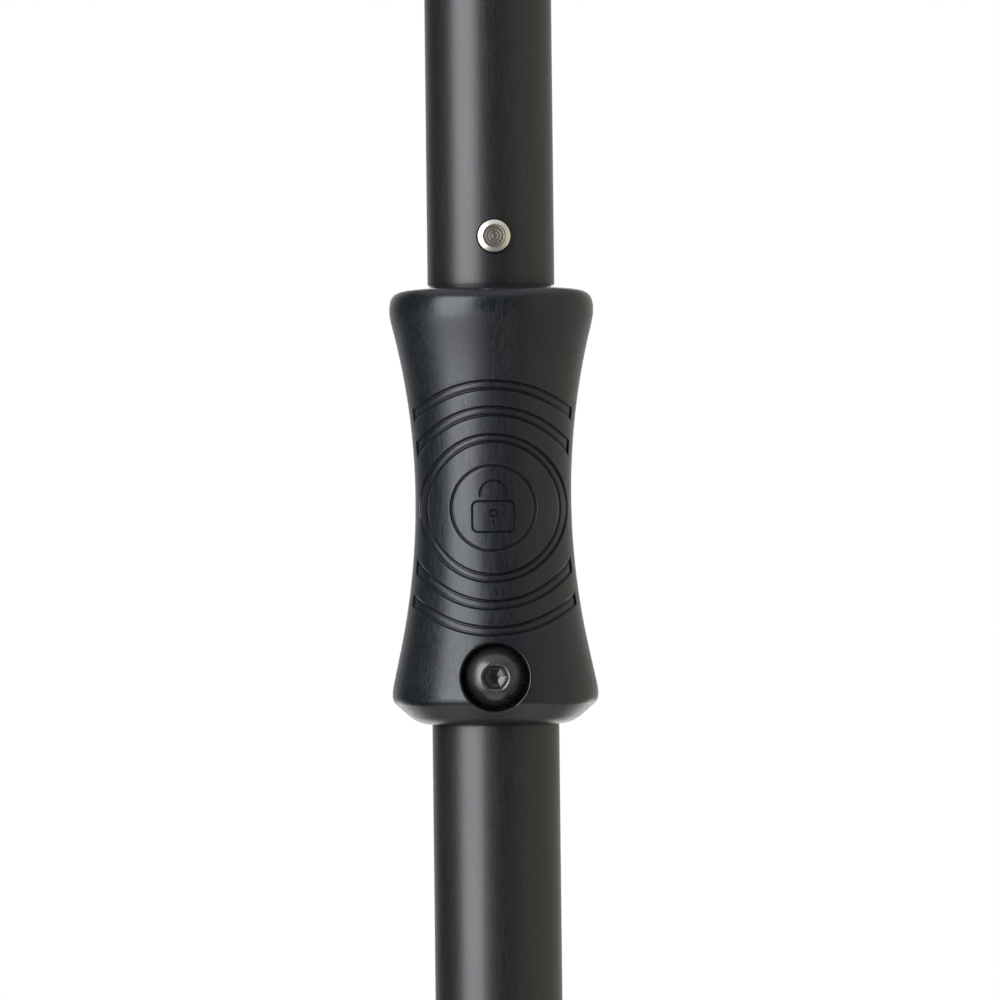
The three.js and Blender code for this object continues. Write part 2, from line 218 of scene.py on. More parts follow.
class Finish(NodeTree):
    """One material around a Principled shader."""

    def __init__(self, name, **constants):
        self.material = bpy.data.materials.new(name)
        self.material.use_nodes = True
        super().__init__(self.material.node_tree)
        self.surface = self.node("ShaderNodeBsdfPrincipled", {}, constants).socket.node
        self.node("ShaderNodeOutputMaterial", {}, {"Surface": Shade(self, self.surface.outputs[0])})
        self.place = self.node("ShaderNodeTexCoord", output="Object")

    def feed(self, name, value):
        """Links a varying value to a socket of the shader."""
        self.tree.links.new(value.socket, self.surface.inputs[name])

    def noise(self, size, detail=3, rough=0.5):
        """Noise from 0 to 1 with lumps of that size in millimetres, along X, Y and Z."""
        scale = [1 / (MM * length) for length in size]
        where = self.node("ShaderNodeMapping", {}, {"Vector": self.place, "Scale": scale})
        sockets = {"Vector": where, "Scale": 1, "Detail": detail, "Roughness": rough}
        return self.node("ShaderNodeTexNoise", {}, sockets)

    def bumped(self, height, depth, strength=1.0):
        """Feeds the surface's normal from a height of that depth in millimetres."""
        sockets = {"Height": height, "Distance": depth * MM, "Strength": strength}
        self.feed("Normal", self.node("ShaderNodeBump", {}, sockets, output="Normal"))


# ---------------------------------------------------------------- finishes


def black_anodised():
    """Satin black anodised tube, with the fine drawn grain and specks of extruded aluminium."""
    finish = Finish("black_anodised", **{"Specular IOR Level": 0.62})
    grain = finish.noise((0.3, 0.3, 9), detail=3)
    speck = finish.noise((0.55, 0.55, 0.7), detail=3)
    cloud = finish.noise((9, 9, 30), detail=3)
    tone = (grain * 0.5 + speck * 0.5).ramp(0.35, 0.65)
    dark, pale = (0.004, 0.0041, 0.0045), (0.0085, 0.0088, 0.0095)
    finish.feed("Base Color", finish.mixed(tone, dark, pale))
    finish.feed("Roughness", grain * 0.12 + speck * 0.12 + cloud * 0.06 + 0.205)
    finish.bumped(grain * 0.6 + speck * 0.6, 0.009)
    return finish.material


def black_moulding():
    """Satin black moulded collar: fine lengthwise streaks, pores and a rubbed patch near its mouth."""
    finish = Finish("black_moulding", **{"Specular IOR Level": 0.5})
    streak = finish.noise((0.5, 0.5, 10), detail=4, rough=0.6).ramp(0.36, 0.66)
    pore = finish.noise((0.6, 0.6, 0.9), detail=2).ramp(0.3, 0.7)
    cloud = finish.noise((8, 8, 22), detail=3)
    across, along, up = finish.parts(finish.place)
    height = up / MM - COLLAR_FOOT
    front = (along * -1).ramp(0, 0.01)
    rubbed = front * (1 - ((across / MM - RUBBED_SIDE).absolute() / RUBBED_WIDTH).ramp(0, 1))
    rubbed *= 1 - ((height - RUBBED_HEIGHT).absolute() / RUBBED_LENGTH).ramp(0.3, 1)
    scratch = finish.noise((0.6, 0.6, 6), detail=4, rough=0.7).ramp(0.42, 0.58) * rubbed
    from_screw = ((across / MM) ** 2 + (height - SCREW_HEIGHT) ** 2) ** 0.5
    lip = from_screw.ramp(COUNTERBORE - 0.5, COUNTERBORE) * front
    lip *= 1 - from_screw.ramp(COUNTERBORE + 0.3, COUNTERBORE + 1)
    lower_corner = height.ramp(5.2, 6.4) * (1 - height.ramp(8, 12))
    shoulder = height.ramp(111, 116)
    burnished = lower_corner + shoulder + lip
    tone = streak * 0.55 + pore * 0.2 + cloud * 0.3 - 0.05
    plain = finish.mixed(tone, (0.003, 0.0038, 0.0054), (0.0075, 0.009, 0.0118))
    finish.feed("Base Color", finish.mixed(scratch * 0.8, plain, (0.002, 0.0022, 0.0026)))
    rough = streak * 0.09 + pore * 0.07 + cloud * 0.07 + scratch * 0.2 + 0.24
    finish.feed("Roughness", rough - burnished * 0.08)
    finish.bumped(streak * 0.36 + pore * 0.45 - scratch * 2.5, 0.008)
    return finish.material


def blackened_steel():
    """Oiled black-oxide steel of the stop screw, paler in patches round its socket's mouth."""
    finish = Finish("blackened_steel", **{"Specular IOR Level": 1.0, "Metallic": 0.2})
    mottle = finish.noise((0.7, 0.7, 0.7), detail=4, rough=0.65)
    forged = finish.noise((0.25, 0.25, 0.25), detail=2)
    across, _, up = finish.parts(finish.place)
    height = up - (COLLAR_FOOT + SCREW_HEIGHT) * MM
    radius = (across * across + height * height) ** 0.5 / MM
    mouth = radius.ramp(3.2, 3.5) * (1 - radius.ramp(3.8, 4.2))
    # paler base colour in mottled patches round the socket's mouth
    pale_mouth_patches = mouth * mottle.ramp(0.4, 0.7)
    dark = finish.mixed(mottle, (0.006, 0.006, 0.006), (0.022, 0.0213, 0.0205))
    finish.feed("Base Color", finish.mixed(pale_mouth_patches * 0.3, dark, (0.09, 0.088, 0.084)))
    polished = 1 - radius.ramp(3.9, 4.3)
    finish.feed("Roughness", mottle * 0.16 + forged * 0.06 + 0.17 - polished * 0.08)
    finish.bumped(mottle * 0.6 + forged * 0.4, 0.02)
    return finish.material


def bright_nickel():
    """Nickel-plated snap pin; its turned end carries a painted warm-brown reflection, with turning rings and
    mottle.
    """
    finish = Finish("bright_nickel", **{"Metallic": 1.0})
    mottle = finish.noise((0.5, 0.5, 0.5), detail=4, rough=0.6)
    across, along, up = finish.parts(finish.place)
    sideways = across * math.cos(PIN_TURN) + along * math.sin(PIN_TURN)
    height = up - (COLLAR_FOOT + PIN_HEIGHT) * MM
    radius = (sideways * sideways + height * height) ** 0.5 / MM
    reach = along * -math.cos(PIN_TURN) + across * math.sin(PIN_TURN)
    flat_end = (1 - radius.ramp(2.9, 3.15)) * (reach / MM).ramp(PIN_REACH - 0.4, PIN_REACH - 0.2)
    turning = (radius * 27 + mottle * 3).sine() * 0.5 + 0.5
    # painted reflection: the flat end's warm brown tint stands in for the dim room it mirrors; the turning
    # rings and mottle in it are real marks
    flat_end_painted_reflection = finish.mixed(turning * 0.4 + mottle * 0.6, (0.44, 0.37, 0.29), (0.86, 0.75, 0.62))
    finish.feed("Base Color", finish.mixed(flat_end, (0.9, 0.85, 0.76), flat_end_painted_reflection))
    chamfer = radius.ramp(2.9, 3.2) * (reach / MM).ramp(PIN_REACH - 1.2, PIN_REACH - 0.8)
    finish.feed("Roughness", flat_end * 0.12 + chamfer * 0.15 + mottle * 0.08 + 0.13)
    finish.bumped(turning * flat_end * 0.4 + mottle * 0.25, 0.01)
    return finish.material


def turned_metal(name, dark, pale, roughness):
    """Metal with fine turning marks round the pole's axis."""
    finish = Finish(name, **{"Metallic": 1.0})
    mark = finish.noise((30, 30, 0.25), detail=2)
    cloud = finish.noise((4, 4, 4), detail=3)
    finish.feed("Base Color", finish.mixed(mark * 0.5 + cloud * 0.5, dark, pale))
    finish.feed("Roughness", mark * 0.12 + cloud * 0.1 + roughness)
    finish.bumped(mark, 0.006)
    return finish.material


def cast_zinc():
    """Die-cast zinc with its matt, slightly grained skin."""
    finish = Finish("cast_zinc", **{"Metallic": 0.9})
    grain = finish.noise((0.6, 0.6, 0.6), detail=4, rough=0.65)
    cloud = finish.noise((7, 7, 12), detail=3)
    finish.feed("Base Color", finish.mixed(cloud, (0.33, 0.34, 0.35), (0.5, 0.51, 0.52)))
    finish.feed("Roughness", grain * 0.2 + cloud * 0.1 + 0.34)
    finish.bumped(grain, 0.03)
    return finish.material


def plastic(name, dark, pale, roughness, grain_size):
    """Moulded or machined plastic with a fine skin and faint clouds."""
    finish = Finish(name)
    grain = finish.noise((grain_size, grain_size, grain_size), detail=3)
    cloud = finish.noise((6, 6, 9), detail=3)
    finish.feed("Base Color", finish.mixed(grain * 0.4 + cloud * 0.6, dark, pale))
    finish.feed("Roughness", grain * 0.12 + cloud * 0.08 + roughness)
    finish.bumped(grain, 0.012)
    return finish.material


def floor_paint():
    """Plain pale studio floor."""
    finish = Finish("floor_paint", **{"Specular IOR Level": 0.2})
    cloud = finish.noise((400, 400, 400), detail=3)
    finish.feed("Base Color", finish.mixed(cloud, (0.88, 0.88, 0.88), (0.91, 0.91, 0.91)))
    finish.feed("Roughness", cloud * 0.1 + 0.6)
    return finish.material


ANODISED = black_anodised()
MOULDING = black_moulding()
BLACKENED = blackened_steel()
NICKEL = bright_nickel()
SPRING = turned_metal("spring_steel", (0.3, 0.31, 0.33), (0.5, 0.51, 0.53), 0.28)
BRASS = turned_metal("brass", (0.5, 0.34, 0.12), (0.72, 0.54, 0.24), 0.24)
ZINC = cast_zinc()
BLACK_ACETAL = plastic("black_acetal", (0.010, 0.010, 0.011), (0.022, 0.022, 0.024), 0.36, 0.4)
PALE_ACETAL = plastic("pale_acetal", (0.60, 0.58, 0.51), (0.72, 0.70, 0.64), 0.38, 0.4)
END_MOULDING = plastic("end_moulding", (0.008, 0.0085, 0.0095), (0.018, 0.019, 0.021), 0.4, 0.5)
RUBBER = plastic("buffer_rubber", (0.012, 0.012, 0.012), (0.022, 0.022, 0.021), 0.7, 0.25)

# ---------------------------------------------------------------- mesh making


class Skin:
    """Points, in millimetres, and faces of one piece."""

    def __init__(self):
        self.points = []
        self.faces = []

    def add(self, points):
        """Adds points and gives their numbers."""
        start = len(self.points)
        self.points.extend(points)
        return list(range(start, len(self.points)))

    def strip(self, first, second, closed=True):
        """Quads between two rows of as many points."""
        count = len(first)
        for i in range(count if closed else count - 1):
            j = (i + 1) % count
            self.faces.append((first[i], first[j], second[j], second[i]))

    def fan(self, ring, centre):
        """Triangles from a closed ring to one point."""
        for i, point in enumerate(ring):
            self.faces.append((point, ring[(i + 1) % len(ring)], centre))

    def mesh(self, name, placed=Matrix.Identity(4), sharp=38):
        """The piece's mesh, with its faces turned outwards and its edges smooth up to an angle."""
        mesh = bpy.data.meshes.new(name)
        mesh.from_pydata([placed @ Vector(point) * MM for point in self.points], [], self.faces)
        work = bmesh.new()
        work.from_mesh(mesh)
        loose = [vertex for vertex in work.verts if not vertex.link_faces]
        bmesh.ops.delete(work, geom=loose, context="VERTS")
        bmesh.ops.recalc_face_normals(work, faces=work.faces)
        work.to_mesh(mesh)
        work.free()
        mesh.shade_smooth()
        mesh.set_sharp_from_angle(angle=math.radians(sharp))
        return mesh


def rounded(outline, radius, steps=3, closed=False):
    """The outline with each of its corners turned into a small arc."""
    points = [Vector(point) for point in outline]
    last = len(points)
    made = []
    for i, corner in enumerate(points):
        if not closed and i in (0, last - 1):
            made.append(tuple(corner))
            continue
        before, after = points[i - 1] - corner, points[(i + 1) % last] - corner
        reach = min(radius, before.length * 0.45, after.length * 0.45)
        start, end = corner + before.normalized() * reach, corner + after.normalized() * reach
        for step in range(steps + 1):
            t = step / steps
            point = start * (1 - t) ** 2 + corner * 2 * t * (1 - t) + end * t**2
            made.append(tuple(point))
    return made


def turned(name, outline, sides=TUBE_SIDES, placed=Matrix.Identity(4), closed=True):
    """Turned piece: an outline of (radius, height) that closes on itself, or starts and ends on the axis."""
    skin = Skin()
    rings = []
    for radius, height in outline:
        if radius < 1e-6:
            rings.append(skin.add([(0, 0, height)]))
            continue
        angles = [2 * math.pi * i / sides for i in range(sides)]
        rings.append(skin.add([(radius * math.cos(a), radius * math.sin(a), height) for a in angles]))
    pairs = list(zip(rings, rings[1:] + rings[:1])) if closed else list(zip(rings, rings[1:]))
    for first, second in pairs:
        if len(first) == 1:
            skin.fan(second, first[0])
        elif len(second) == 1:
            skin.fan(first, second[0])
        else:
            skin.strip(first, second)
    return skin.mesh(name, placed)


def tube_outline(inner, outer, bottom, top, edge):
    """Outline of a plain ring with eased edges."""
    corners = [(inner, bottom), (outer, bottom), (outer, top), (inner, top)]
    return rounded(corners, edge, closed=True)


def cut(mesh, cutter):
    """The mesh less the cutter's volume."""
    pair = [bpy.data.objects.new(part.name, part) for part in (mesh, cutter)]
    for part in pair:
        bpy.context.scene.collection.objects.link(part)
    step = pair[0].modifiers.new("cut", "BOOLEAN")
    step.operation, step.solver, step.object = "DIFFERENCE", "EXACT", pair[1]
    graph = bpy.context.evaluated_depsgraph_get()
    result = bpy.data.meshes.new_from_object(pair[0].evaluated_get(graph))
    name = mesh.name
    for part in pair:
        bpy.data.objects.remove(part)
    bpy.data.meshes.remove(mesh)
    bpy.data.meshes.remove(cutter)
    result.name = name
    result.shade_smooth()
    result.set_sharp_from_angle(angle=math.radians(38))
    return result


def piece(mesh, material, body, slot, *nodes):
    """Puts a mesh into the scene as a piece that stands for nodes of the frame; it may ride on a body."""
    made = bpy.data.objects.new(mesh.name, mesh)
    bpy.context.scene.collection.objects.link(made)
    mesh.materials.clear()
    mesh.materials.append(material)
    if body:
        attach(made, body)
    if nodes:
        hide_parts(*nodes)
    return made


def facing_front(height, turn=0.0):
    """Takes a turned piece's axis to the front, at that height on the collar."""
    lift = Matrix.Translation((0, 0, COLLAR_FOOT + height))
    return lift @ Matrix.Rotation(turn, 4, "Z") @ Matrix.Rotation(math.pi / 2, 4, "X")


# ---------------------------------------------------------------- collar's outer form


def curve(start, control, end, steps):
    """Points of a quadratic curve, without its start."""
    made = []
    for step in range(1, steps + 1):
        t = step / steps
        weights = ((1 - t) ** 2, 2 * t * (1 - t), t**2)
        mix = zip(weights, (start, control, end))
        made.append(tuple(sum((Vector(point) * weight for weight, point in mix), Vector((0, 0)))))
    return made


def collar_outline():
    """Close points of the collar's outline as radii and heights, from its lower rim to its mouth."""
    points = [(18, 0.2)]
    points += curve((18, 0.2), (21.6, 0.5), (24.1, 2.9), CURVE_STEPS)  # rounded underside
    points.append((27.35, 5.75))
    points += curve((27.35, 5.75), (28.35, 6.6), (28.4, 8.2), CURVE_STEPS)  # lower corner
    points += curve((28.4, 8.2), (28.42, 9.4), (28.1, 10.9), CURVE_STEPS)
    points.append((25.9, 21.2))
    points += curve((25.9, 21.2), (21.5, 41.6), (21.5, 62.6), CURVE_STEPS)  # waist
    points += curve((21.5, 62.6), (21.5, 86.3), (27.3, 109.2), CURVE_STEPS)
    points.append((27.6, 110.5))
    points += curve((27.6, 110.5), (29.7, 118.8), (24.2, 120), CURVE_STEPS)  # upper shoulder
    points += curve((24.2, 120), (21, 120.75), (COLLAR_MOUTH, COLLAR_LENGTH), CURVE_STEPS)
    radii, heights = np.array(points).T
    return radii, heights


RADII, HEIGHTS = collar_outline()
RUNS = np.concatenate([[0], np.cumsum(np.hypot(np.diff(RADII), np.diff(HEIGHTS)))])


def collar_radius(height):
    return float(np.interp(height, HEIGHTS, RADII))


def collar_run(height):
    """Length along the outline from the lower rim up to a height."""
    return float(np.interp(height, HEIGHTS, RUNS))


def collar_rows():
    """Heights of the collar's rows of points: about a millimetre apart, closer round its corners."""
    headings = np.unwrap(np.arctan2(np.diff(HEIGHTS), np.diff(RADII)))
    turns = np.concatenate([[0], np.abs(np.diff(headings)), [0]])
    cost = np.cumsum(turns) / math.radians(5) + RUNS
    first = float(np.interp(COLLAR_BORE, RADII[:CURVE_STEPS], HEIGHTS[:CURVE_STEPS]))
    start = float(np.interp(first, HEIGHTS, cost))
    count = int(math.ceil(cost[-1] - start))
    return [float(np.interp(c, cost, HEIGHTS)) for c in np.linspace(start, cost[-1], count + 1)]


def on_front(side, x, height, depth=0.0):
    """Point of the collar's surface as seen from the front, sunk by a depth; side -1 is the back."""
    radius = collar_radius(height)
    sink = depth * (1 - SIDE_FADE * (x / radius) ** 2)
    y = math.sqrt(radius**2 - x**2) - sink
    return (side * x, -side * y, COLLAR_FOOT + height)


def wall(depth, lip, foot, draft):
    """Steps down a sunk wall as (distance inwards, depth): a rounded lip, then a rounded foot."""
    steps = []
    for degrees in (0, 18, 36, 54, 70):
        angle = math.radians(degrees)
        steps.append((lip * math.sin(angle) - lip, lip * (1 - math.cos(angle))))
    for degrees in (0, 30, 60, 90):
        angle = math.radians(degrees)
        steps.append((draft + foot * (1 - math.cos(angle)), depth - foot * (1 - math.sin(angle))))
    return steps


GROOVE_LIP = 0.18
DISC_LIP = 0.3
BORE_LIP = 0.6
GROOVE_WALL = [*wall(CREASE_DEPTH, GROOVE_LIP, 0.14, 0.34), (0.62, CREASE_DEPTH - 0.05)]
GROOVE_WALL += [(0.74, RING_DEPTH + 0.1), (0.88, RING_DEPTH)]
DISC_WALL = [*wall(DISC_DEPTH + 0.35, DISC_LIP, 0.12, 0.28), (0.52, DISC_DEPTH + 0.3)]
DISC_WALL += [(0.66, DISC_DEPTH + 0.05), (0.78, DISC_DEPTH)]

# ---------------------------------------------------------------- collar's pattern


def circle(radius, count, height=PATTERN_HEIGHT):
    """(x, height on the collar) round a circle, from its top."""
    turns = [2 * math.pi * i / count for i in range(count)]
    return [(radius * math.sin(a), height + radius * math.cos(a)) for a in turns]


def sunk(x, height, depth):
    """Depth of an arc groove, which grows near its end walls."""
    share = abs(x) / (collar_radius(height) * math.sin(RING_REACH))
    nearness = min(1, max(0, (share - END_START) / (1 - END_START)))
    return depth * (1 + END_SINK * nearness**2)


def reach_at(radius, up, inwards):
    """Angle from upright at which an arc meets the grooves' end walls."""
    near, far = 0.0, math.pi / 2
    for _ in range(30):
        middle = (near + far) / 2
        height = PATTERN_HEIGHT + up * radius * math.cos(middle)
        limit = collar_radius(height) * math.sin(RING_REACH) - inwards
        if radius * math.sin(middle) < limit:
            near = middle
        else:
            far = middle
    return near


def arc(radius, up, inwards, count):
    """Points of an upper or lower arc, from its left end wall to its right one."""
    reach = reach_at(radius, up, inwards)
    angles = [reach * (2 * i / count - 1) for i in range(count + 1)]
    return [(radius * math.sin(a), PATTERN_HEIGHT + up * radius * math.cos(a)) for a in angles]


def arc_loop(inner, outer, up, inwards, count, ends=3):
    """Closed loop round a groove's arc at one step of its wall."""
    outside = arc(outer - inwards, up, inwards, count)
    inside = arc(inner + inwards, up, inwards, count)
    shares = [i / ends for i in range(1, ends)]
    right = [tuple(Vector(outside[-1]).lerp(Vector(inside[-1]), share)) for share in shares]
    left = [tuple(Vector(inside[0]).lerp(Vector(outside[0]), share)) for share in shares]
    return outside + right + inside[::-1] + left


def sunk_arc(skin, side, inner, outer, up):
    """One arc-shaped groove; gives the numbers and places of its rim's points."""
    count, ends = 62, 3
    loops = []
    for inwards, depth in GROOVE_WALL:
        places = arc_loop(inner, outer, up, inwards, count, ends)
        loops.append(skin.add([on_front(side, x, h, sunk(x, h, depth)) for x, h in places]))
    for first, second in zip(loops, loops[1:]):
        skin.strip(first, second)
    floor = loops[-1]
    outside, inside = floor[: count + 1], floor[count + ends : 2 * count + ends + 1][::-1]
    middle = floor_middle(skin, side, inner, outer, up, count)
    skin.strip(outside, middle, closed=False)
    skin.strip(middle, inside, closed=False)
    close_ends(skin, floor, count, ends, middle)
    return loops[0], arc_loop(inner, outer, up, GROOVE_WALL[0][0], count, ends)


def floor_middle(skin, side, inner, outer, up, count):
    """Row of points along the middle of a groove's floor."""
    places = arc((inner + outer) / 2, up, GROOVE_WALL[-1][0], count)
    return skin.add([on_front(side, x, h, sunk(x, h, RING_DEPTH)) for x, h in places])


def close_ends(skin, floor, count, ends, middle):
    """Joins the end walls' feet to the two ends of the floor's middle row."""
    right = floor[count : count + ends + 1]
    left = [*floor[2 * count + ends :], floor[0]]
    for row, point in ((right, middle[-1]), (left, middle[0])):
        for first, second in zip(row, row[1:]):
            skin.faces.append((first, second, point))


def sunk_ring(skin, side, inner, outer):
    """One full ring groove; gives its outer and inner rims as numbers and places."""
    count = 168
    profile = [(outer - inwards, depth) for inwards, depth in GROOVE_WALL]
    profile.append(((inner + outer) / 2, RING_DEPTH))
    profile += [(inner + inwards, depth) for inwards, depth in reversed(GROOVE_WALL)]
    loops = []
    for radius, depth in profile:
        loops.append(skin.add([on_front(side, x, h, depth) for x, h in circle(radius, count)]))
    for first, second in zip(loops, loops[1:]):
        skin.strip(first, second)
    return [(loops[0], circle(profile[0][0], count)), (loops[-1], circle(profile[-1][0], count))]


def sunk_disc(skin, side):
    """The round recess's wall; gives its rim and its foot as numbers and places."""
    count = 120
    loops = []
    for inwards, depth in DISC_WALL:
        places = circle(DISC_RADIUS - inwards, count)
        loops.append((skin.add([on_front(side, x, h, depth) for x, h in places]), places))
    for first, second in zip(loops, loops[1:]):
        skin.strip(first[0], second[0])
    return [loops[0], loops[-1]]


# ---------------------------------------------------------------- padlock mark in the recess

STROKE = 0.34  # half the width of an engraved line
STROKE_DEPTH = 0.45
PADLOCK_WIDTH, PADLOCK_HEIGHT, PADLOCK_CORNER = 11.6, 8.4, 1.5
PADLOCK_DROP = 2.3  # the body's centre below the recess's centre
SHACKLE_RADIUS = 3.7


def corner_arc(x, y, radius, start, end, steps=8):
    """Points of an arc between two angles in degrees."""
    angles = [math.radians(start + (end - start) * i / steps) for i in range(steps + 1)]
    return [(x + radius * math.cos(a), y + radius * math.sin(a)) for a in angles]


def divided(points, pitch, closed):
    """The line with points added so that none lie further apart than the pitch."""
    made = []
    following = points[1:] + points[:1] if closed else points[1:]
    for start, end in zip(points, following):
        count = max(1, math.ceil((Vector(end) - Vector(start)).length / pitch))
        made += [tuple(Vector(start).lerp(Vector(end), i / count)) for i in range(count)]
    return made if closed else made + [points[-1]]


def padlock_lines():
    """The mark's engraved lines about the recess's centre, each with whether it closes on itself."""
    half_width = PADLOCK_WIDTH / 2 - PADLOCK_CORNER
    half_height = PADLOCK_HEIGHT / 2 - PADLOCK_CORNER
    body = []
    corners = ((1, 1, 0), (-1, 1, 90), (-1, -1, 180), (1, -1, 270))
    for right, up, start in corners:
        x, y = right * half_width, up * half_height - PADLOCK_DROP
        body += corner_arc(x, y, PADLOCK_CORNER, start, start + 90)
    foot = PADLOCK_HEIGHT / 2 - PADLOCK_DROP + 2 * STROKE + 0.35
    spring = foot + 0.9
    bow = corner_arc(0, spring, SHACKLE_RADIUS, 0, 180, 24)
    shackle = [(SHACKLE_RADIUS, foot), *bow, (-SHACKLE_RADIUS, foot)]
    eye = corner_arc(0, -PADLOCK_DROP + 0.9, 0.95, 0, 345, 23)
    slot = [(0, -PADLOCK_DROP - 0.7), (0, -PADLOCK_DROP - 2.3)]
    return [(body, True), (shackle, False), (eye, True), (slot, False)]


def line_sides(points, closed):
    """The two edges of an engraved line."""
    edges = ([], [])
    last = len(points) - 1
    for i, point in enumerate(points):
        before = points[i - 1] if closed or i > 0 else point
        after = points[(i + 1) % len(points)] if closed or i < last else point
        along = (Vector(after) - Vector(before)).normalized()
        across = Vector((-along.y, along.x)) * STROKE
        edges[0].append(tuple(Vector(point) + across))
        edges[1].append(tuple(Vector(point) - across))
    return edges


def engraved(skin, side):
    """The mark's lines as numbers, places and whether each closes, for the recess's floor to join."""
    rows = []
    for line, closed in padlock_lines():
        points = divided(line, 0.5, closed)
        edge, other = line_sides(points, closed)
        if closed:
            rims = [(edge, True), (other, True)]
            bottom = points
        else:
            rims = [([points[0], *edge[1:-1], points[-1], *other[-2:0:-1]], True)]
            bottom = points[1:-1]
        depths = [DISC_DEPTH] * len(rims) + [DISC_DEPTH + STROKE_DEPTH]
        for (row, shut), depth in zip([*rims, (bottom, closed)], depths):
            places = [(x, PATTERN_HEIGHT + y) for x, y in row]
            numbers = skin.add([on_front(side, x, h, depth) for x, h in places])
            rows.append((numbers, places, shut))
    return rows


# ---------------------------------------------------------------- collar's mesh


def counterbore(skin):
    """The stop screw's counterbore down to the hole for its insert; gives its rim and its hole."""
    count = 120
    loops = []
    for inwards, depth in wall(2, BORE_LIP, 0.2, 0)[:5]:
        places = circle(COUNTERBORE - inwards, count, SCREW_HEIGHT)
        loops.append((skin.add([on_front(1, x, h, depth) for x, h in places]), places))
    floor = [(COUNTERBORE, SCREW_SEAT + 2), (COUNTERBORE, SCREW_SEAT + 0.3)]
    floor += [(COUNTERBORE - 0.1, SCREW_SEAT + 0.1), (COUNTERBORE - 0.3, SCREW_SEAT)]
    floor.append((INSERT_HOLE, SCREW_SEAT))
    for radius, distance in floor:
        places = circle(radius, count, SCREW_HEIGHT)
        loops.append((skin.add([(x, -distance, COLLAR_FOOT + h) for x, h in places]), places))
    for first, second in zip(loops, loops[1:]):
        skin.strip(first[0], second[0])
    return loops[0], loops[-1]


def in_groove(x, height):
    """Whether a place lies within a groove's or the recess's wall, where the skin is made apart."""
    distance = math.hypot(x, height - PATTERN_HEIGHT)
    if DISC_RADIUS - DISC_WALL[-1][0] < distance < DISC_RADIUS + DISC_LIP:
        return True
    for number, (inner, outer) in enumerate(RINGS):
        if inner - GROOVE_LIP < distance < outer + GROOVE_LIP:
            return number == 0 or abs(x) < collar_radius(height) * math.sin(RING_REACH) + GROOVE_LIP
    return False


def in_counterbore(x, height):
    return math.hypot(x, height - SCREW_HEIGHT) < COUNTERBORE + BORE_LIP


def filled(skin, border, free, lines, left_out):
    """Triangles that join a border, free points and lines on the collar's map, but for what is left out.

    Border, free and each line hold (number, place) pairs."""
    numbers, places, edges = [], [], []
    for row, closed in [(border, True), *lines]:
        start = len(numbers)
        numbers += [number for number, _ in row]
        places += [place for _, place in row]
        edges += [(start + i, start + i + 1) for i in range(len(row) - 1)]
        if closed:
            edges.append((len(numbers) - 1, start))
    numbers += [number for number, _ in free]
    places += [place for _, place in free]
    mapped = [map_of_collar(*place) for place in places]
    result = geometry.delaunay_2d_cdt(mapped, edges, [], 0, 1e-5, True)
    found, triangles, origins = result[0], result[2], result[3]
    assert len(found) == len(mapped), "the lines of the map cross"
    for triangle in triangles:
        corners = [origins[corner][0] for corner in triangle]
        x = sum(places[corner][0] for corner in corners) / 3
        height = sum(places[corner][1] for corner in corners) / 3
        if not left_out(x, height):
            skin.faces.append(tuple(numbers[corner] for corner in corners))


def pattern_patch(skin, grid, rows, first, last, side):
    """Fills the front or back of the collar between two rows with its pattern."""
    lines = []
    for rim in [*sunk_ring(skin, side, *RINGS[0]), *sunk_disc(skin, side)]:
        lines.append((*rim, True))
    for inner, outer in RINGS[1:]:
        for up in (1, -1):
            lines.append((*sunk_arc(skin, side, inner, outer, up), True))
    lines += engraved(skin, side)
    hole = None
    if side == 1:
        rim, hole = counterbore(skin)
        lines.append((*rim, True))
    taken = place_tree([place for _, places, _ in lines for place in places])
    middle = 0 if side == 1 else COLLAR_SIDES // 2
    columns = range(-PATCH_REACH, PATCH_REACH + 1)

    def place(row, column):
        angle = 2 * math.pi * column / COLLAR_SIDES
        return (collar_radius(rows[row]) * math.sin(angle), rows[row])

    def member(row, column):
        return (grid[row][(middle + column) % COLLAR_SIDES], place(row, column))

    border = [member(first, column) for column in columns]
    border += [member(row, PATCH_REACH) for row in range(first + 1, last)]
    border += [member(last, column) for column in reversed(columns)]
    border += [member(row, -PATCH_REACH) for row in range(last - 1, first, -1)]

    def left_out(x, height):
        return in_groove(x, height) or (side == 1 and in_counterbore(x, height))

    free = []
    for row in range(first + 1, last):
        for column in columns[1:-1]:
            x, height = place(row, column)
            if left_out(x, height) or taken.find(map_of_collar(x, height).to_3d())[2] < CLEARANCE:
                continue
            inside = math.hypot(x, height - PATTERN_HEIGHT) < DISC_RADIUS
            depth = DISC_DEPTH if inside else 0
            free.append((skin.add([on_front(side, x, height, depth)])[0], (x, height)))
    joined = [(list(zip(numbers, places)), closed) for numbers, places, closed in lines]
    filled(skin, border, free, joined, left_out)
    return hole


def map_of_collar(x, height):
    """Place on the collar as lengths round and along it."""
    ratio = max(-1.0, min(1.0, x / collar_radius(height)))
    return Vector((MAP_RADIUS * math.asin(ratio), collar_run(height)))


def place_tree(places):
    """Search tree of places on the collar's map."""
    tree = kdtree.KDTree(len(places))
    for number, place in enumerate(places):
        tree.insert(map_of_collar(*place).to_3d(), number)
    tree.balance()
    return tree


def collar_point(radius, column, height):
    """Point at a radius and height of the collar, on one of its columns; column 0 is the front."""
    angle = 2 * math.pi * column / COLLAR_SIDES
    return (radius * math.sin(angle), -radius * math.cos(angle), COLLAR_FOOT + height)


